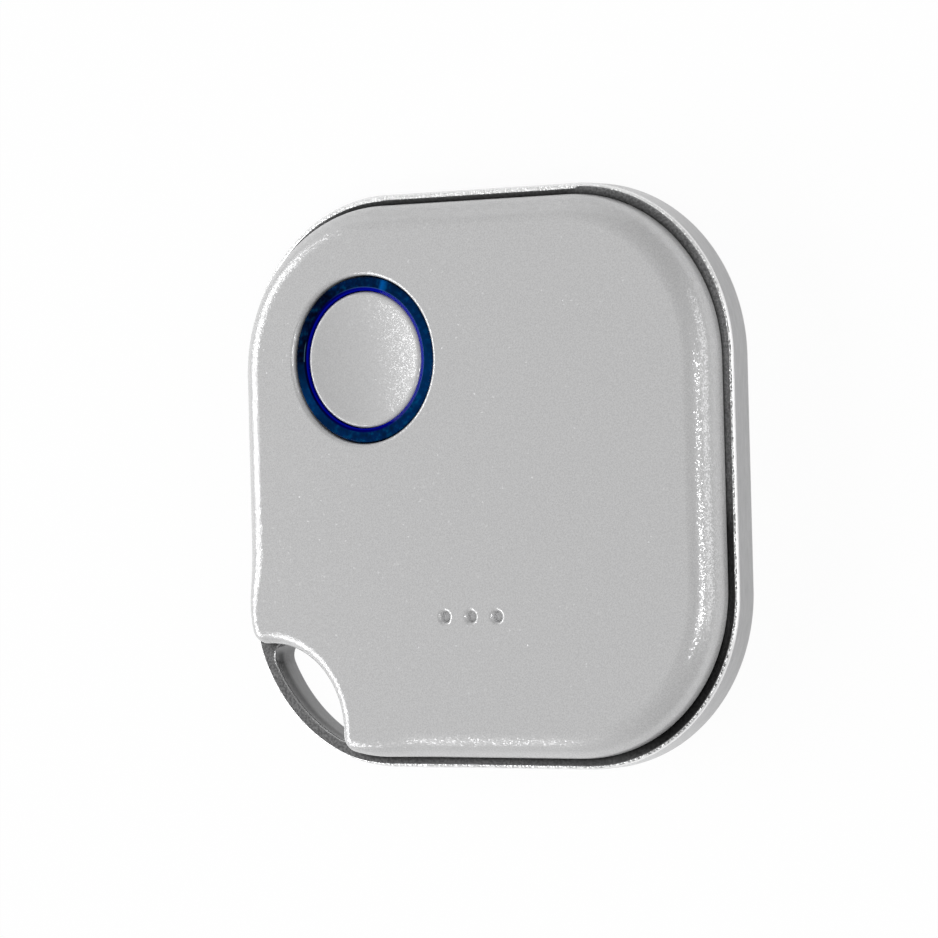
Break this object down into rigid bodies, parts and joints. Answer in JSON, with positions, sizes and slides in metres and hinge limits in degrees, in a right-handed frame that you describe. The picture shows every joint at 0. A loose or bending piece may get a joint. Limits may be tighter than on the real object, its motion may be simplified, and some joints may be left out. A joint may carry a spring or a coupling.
{
  "type": "smart button",
  "caption": "Flat square key-fob smart button with a dished push button in a light ring, sound holes, a key eye at one corner and a sliding back cover.",
  "frame": {"origin": "middle of the back cover's flat outer face, where the part lies on a table or is stuck to a wall", "axes": "+Z out of the button face, +Y towards the edge nearest the button, +X to the right of the face, so the key eye is at -X, -Y"},
  "size_m": [0.036, 0.036, 0.006],
  "materials": {
    "shell_grey": "fine metallic grain, satin",
    "frame_bright": "polished",
    "ring_blue": "clear dark blue, polished",
    "cap_grey": "fine metallic grain, satin",
    "board_green": "solder mask over glass cloth",
    "black_plastic": "moulded",
    "sheet_steel": "rolled sheet",
    "lamp_white": "milky resin",
    "passive_tan": "fired",
    "copper": "etched foil",
    "mesh_grey": "fine woven cloth",
    "black_rubber": "foam, matt",
    "brass_disc": "rolled sheet",
    "piezo_white": "silvered",
    "contact_gold": "plated",
    "cell_steel": "plated, fine turned grain",
    "seal_white": "moulded",
    "cell_core": "pressed powder",
    "spring_steel": "rolled strip",
    "screw_steel": "dark plated"
  },
  "bodies": {
    "case": {"front_shell": "shell_grey", "mid_frame": "frame_bright", "light_ring": "ring_blue", "main_board": "board_green", "switch_base": "black_plastic", "switch_cover": "sheet_steel", "switch_dome": "sheet_steel", "ring_leds": "lamp_white", "radio_chip": "black_plastic", "clock_crystal": "sheet_steel", "board_passives": "passive_tan", "board_antenna": "copper", "sound_mesh": "mesh_grey", "buzzer_gasket": "black_rubber", "buzzer_plate": "brass_disc", "buzzer_ceramic": "piezo_white", "buzzer_contacts": "contact_gold", "cell_can": "cell_steel", "cell_cap": "cell_steel", "cell_gasket": "seal_white", "cell_core": "cell_core", "cell_clip": "spring_steel", "cell_leaf": "spring_steel", "case_screws": "screw_steel"},
    "button": {"button_cap": "cap_grey", "switch_plunger": "black_plastic"},
    "cover": {"back_cover": "shell_grey"}
  },
  "joints": [
    {"name": "button_press", "type": "slide", "parent": "case", "child": "button", "axis": [0, 0, -1], "range_m": [0, 0.0002], "stiffness_N_per_m": 8000, "deforming": ["switch_dome"]},
    {"name": "cover_slide", "type": "slide", "parent": "case", "child": "cover", "axis": [0, 1, 0], "range_m": [0, 0.003]}
  ]
}
